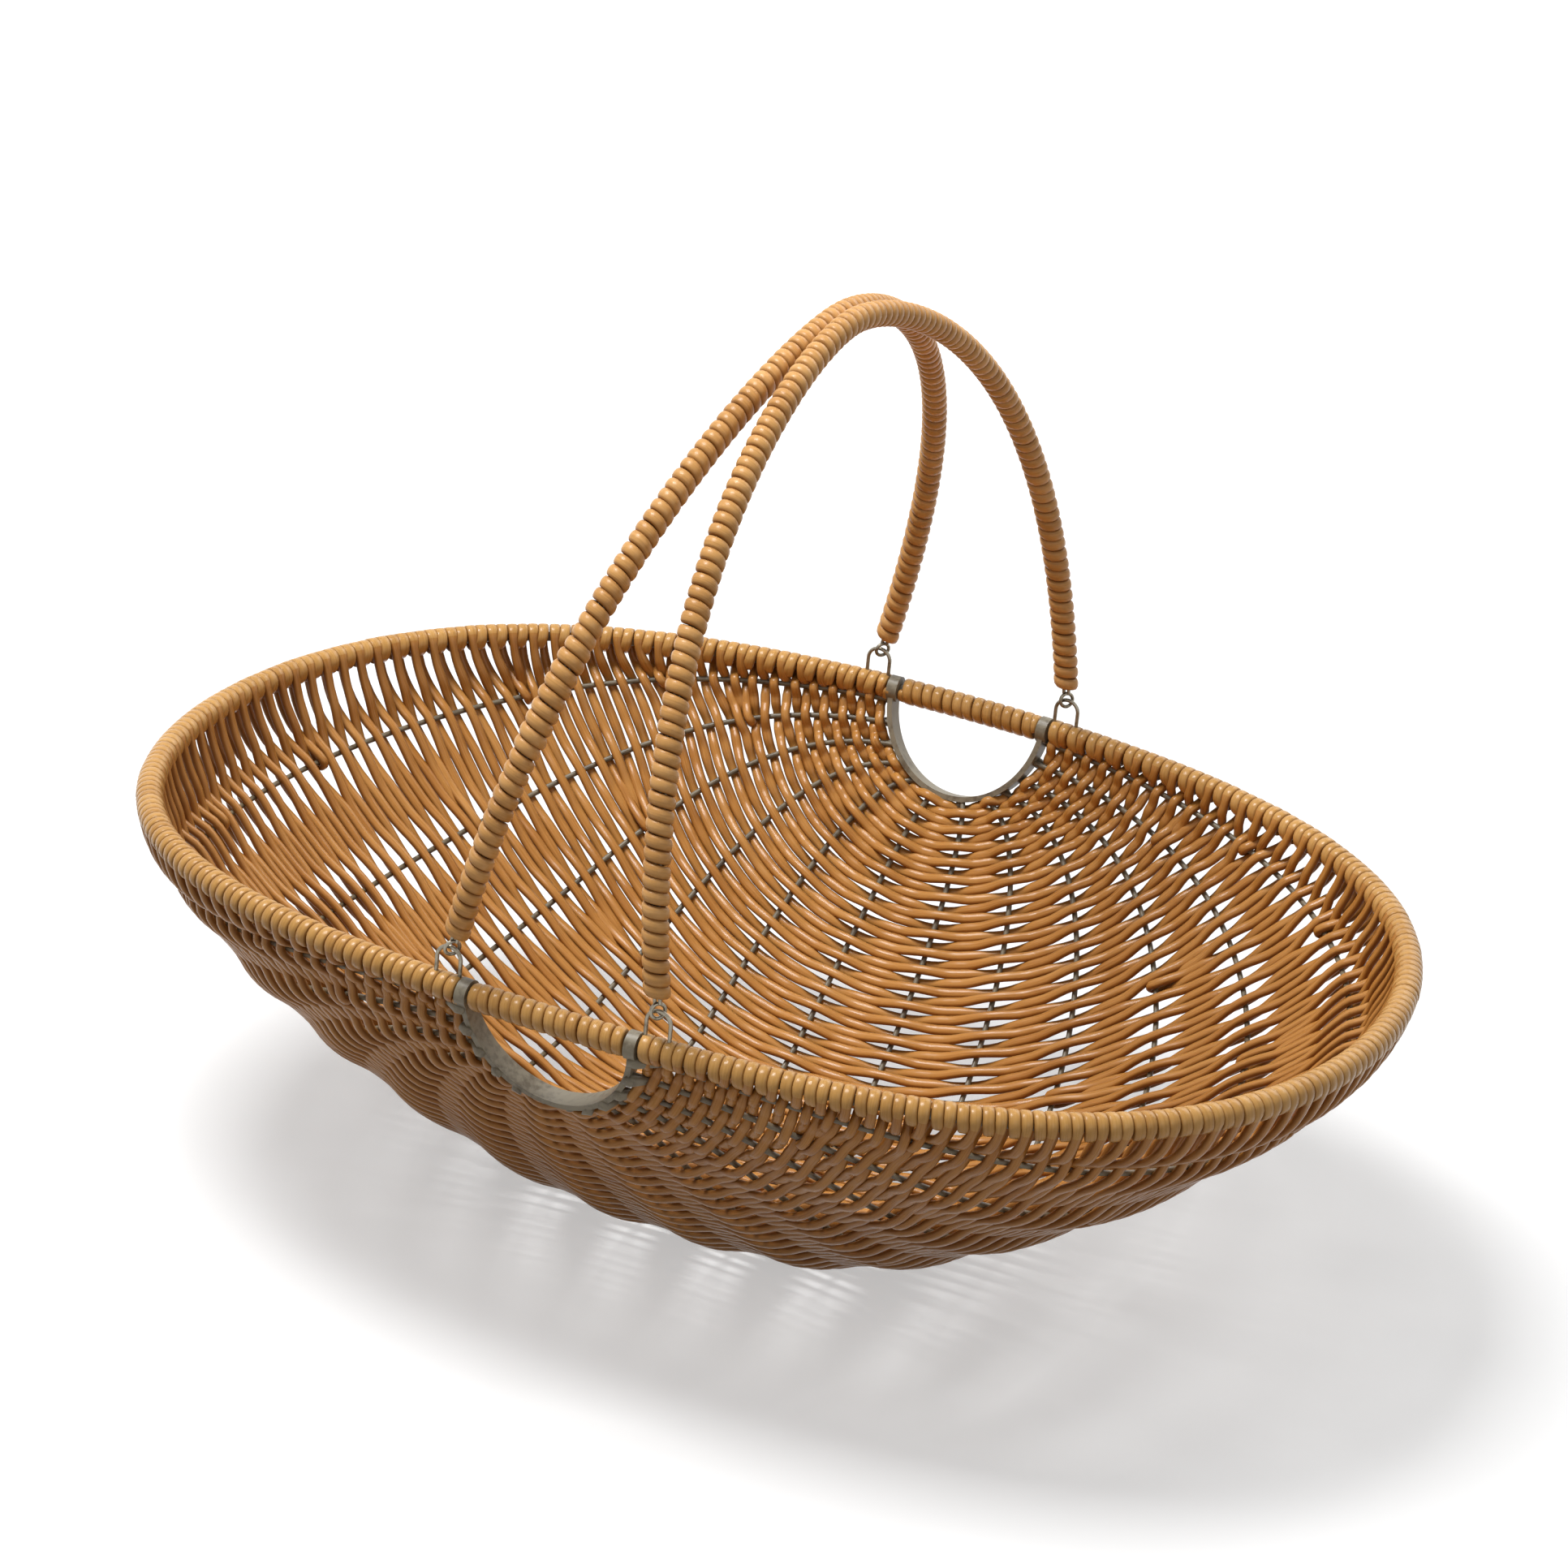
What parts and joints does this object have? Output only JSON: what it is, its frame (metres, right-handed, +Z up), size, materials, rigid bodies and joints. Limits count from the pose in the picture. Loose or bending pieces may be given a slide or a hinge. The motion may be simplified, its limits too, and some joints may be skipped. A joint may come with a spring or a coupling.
{
  "type": "trug garden basket",
  "caption": "Oval woven basket with a rounded bowl, a wound rim, a half-moon opening under each long side and two hinged drop handles.",
  "frame": {"origin": "under the middle of the bowl, on the surface the basket stands on", "axes": "+X along the basket's length, +Y across it from the front opening to the back one, +Z up"},
  "size_m": [0.46, 0.336, 0.334],
  "materials": {
    "strand": "satin",
    "frame_metal": "satin",
    "hinge_wire": "dull"
  },
  "bodies": {
    "basket": {"rim_wrap_left": "strand", "rim_wrap_right": "strand", "bar_wrap_front": "strand", "bar_wrap_back": "strand", "weave": "strand", "rim_hoop": "frame_metal", "dee_frame_front": "frame_metal", "dee_frame_back": "frame_metal", "rib_01": "frame_metal", "rib_02": "frame_metal", "rib_03": "frame_metal", "rib_04": "frame_metal", "rib_05": "frame_metal", "rib_06": "frame_metal", "rib_07": "frame_metal", "rib_08": "frame_metal", "rib_09": "frame_metal", "rib_10": "frame_metal", "rib_11": "frame_metal", "rib_12": "frame_metal", "staple_front_left": "hinge_wire", "staple_front_right": "hinge_wire", "staple_back_left": "hinge_wire", "staple_back_right": "hinge_wire"},
    "handle_left": {"handle_left_core": "hinge_wire", "handle_left_wrap": "strand"},
    "handle_right": {"handle_right_core": "hinge_wire", "handle_right_wrap": "strand"}
  },
  "joints": [
    {"name": "handle_left_hinge", "type": "hinge", "parent": "basket", "child": "handle_left", "pos_m": [-0.0387, 0, 0.1408], "axis": [0, -1, 0], "range_deg": [0, 102.1]},
    {"name": "handle_right_hinge", "type": "hinge", "parent": "basket", "child": "handle_right", "pos_m": [0.0387, 0, 0.1408], "axis": [0, 1, 0], "range_deg": [0, 98.6]}
  ]
}
